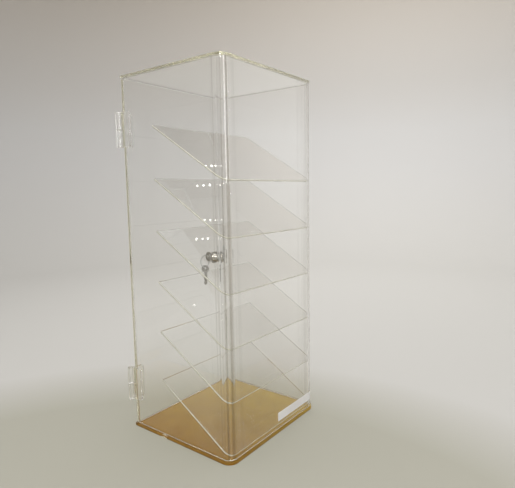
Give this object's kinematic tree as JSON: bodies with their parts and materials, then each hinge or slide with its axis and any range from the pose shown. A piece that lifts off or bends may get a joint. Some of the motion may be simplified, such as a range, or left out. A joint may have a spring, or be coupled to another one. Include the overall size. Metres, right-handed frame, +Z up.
{
  "type": "acrylic display case",
  "caption": "Tall clear acrylic counter case with sloping shelves, a lockable hinged back door on clear plastic hinges, and keys on a ring.",
  "frame": {"origin": "middle of the case's underside, on the table", "axes": "+Z up, -Y to the front wall, +Y to the door, +X to the right as seen from the front"},
  "size_m": [0.264, 0.2584, 0.632],
  "materials": {
    "clear_acrylic": "polished clear sheet, faintly yellow at the edges",
    "hinge_plastic": "moulded clear plastic",
    "kraft_paper": "brown masking paper seen through the base sheet",
    "white_label": "blank white label",
    "nickel": "bright nickel plate",
    "zinc_steel": "zinc-plated steel",
    "plug_brass": "nickel-washed brass"
  },
  "bodies": {
    "case": {"wall_wrap": "clear_acrylic", "top_panel": "clear_acrylic", "base_panel": "clear_acrylic", "base_paper": "kraft_paper", "shelf_1": "clear_acrylic", "shelf_2": "clear_acrylic", "shelf_3": "clear_acrylic", "shelf_4": "clear_acrylic", "shelf_5": "clear_acrylic", "shelf_6": "clear_acrylic", "front_label": "white_label", "lock_strike": "clear_acrylic", "lower_hinge_wall_leaf": "hinge_plastic", "upper_hinge_wall_leaf": "hinge_plastic", "lower_hinge_pin": "hinge_plastic", "upper_hinge_pin": "hinge_plastic"},
    "door": {"door_panel": "clear_acrylic", "lower_hinge_door_leaf": "hinge_plastic", "upper_hinge_door_leaf": "hinge_plastic", "lock_housing": "nickel", "lock_washer": "zinc_steel", "lock_nut": "nickel"},
    "plug": {"lock_plug": "plug_brass", "lock_wafer_1": "plug_brass", "lock_wafer_2": "plug_brass", "lock_wafer_3": "plug_brass", "lock_wafer_4": "plug_brass", "lock_cam": "zinc_steel", "cam_screw": "zinc_steel"},
    "key": {"door_key": "nickel"},
    "ring": {"key_ring": "zinc_steel"},
    "spare": {"spare_key": "nickel"}
  },
  "joints": [
    {"name": "door_swing", "type": "hinge", "parent": "case", "child": "door", "pos_m": [-0.1305, 0.1205, 0.312], "axis": [0, 0, 1], "range_deg": [0, 240]},
    {"name": "lock_turn", "type": "hinge", "parent": "door", "child": "plug", "pos_m": [0.0895, 0.115, 0.29], "axis": [0, 1, 0], "range_deg": [0, 90]},
    {"name": "key_pull", "type": "slide", "parent": "plug", "child": "key", "axis": [0, 1, 0], "range_m": [0, 0.03]},
    {"name": "ring_swing", "type": "hinge", "parent": "key", "child": "ring", "pos_m": [0.0895, 0.1299, 0.29], "axis": [0, 1, 0], "range_deg": [-90, 0]},
    {"name": "spare_key_swing", "type": "hinge", "parent": "ring", "child": "spare", "pos_m": [0.08031, 0.1299, 0.26781], "axis": [1, 0, 0], "range_deg": [-17, 60]}
  ],
  "couplings": [
    {"joint": "ring_swing", "follows": "lock_turn", "ratio": -1}
  ]
}
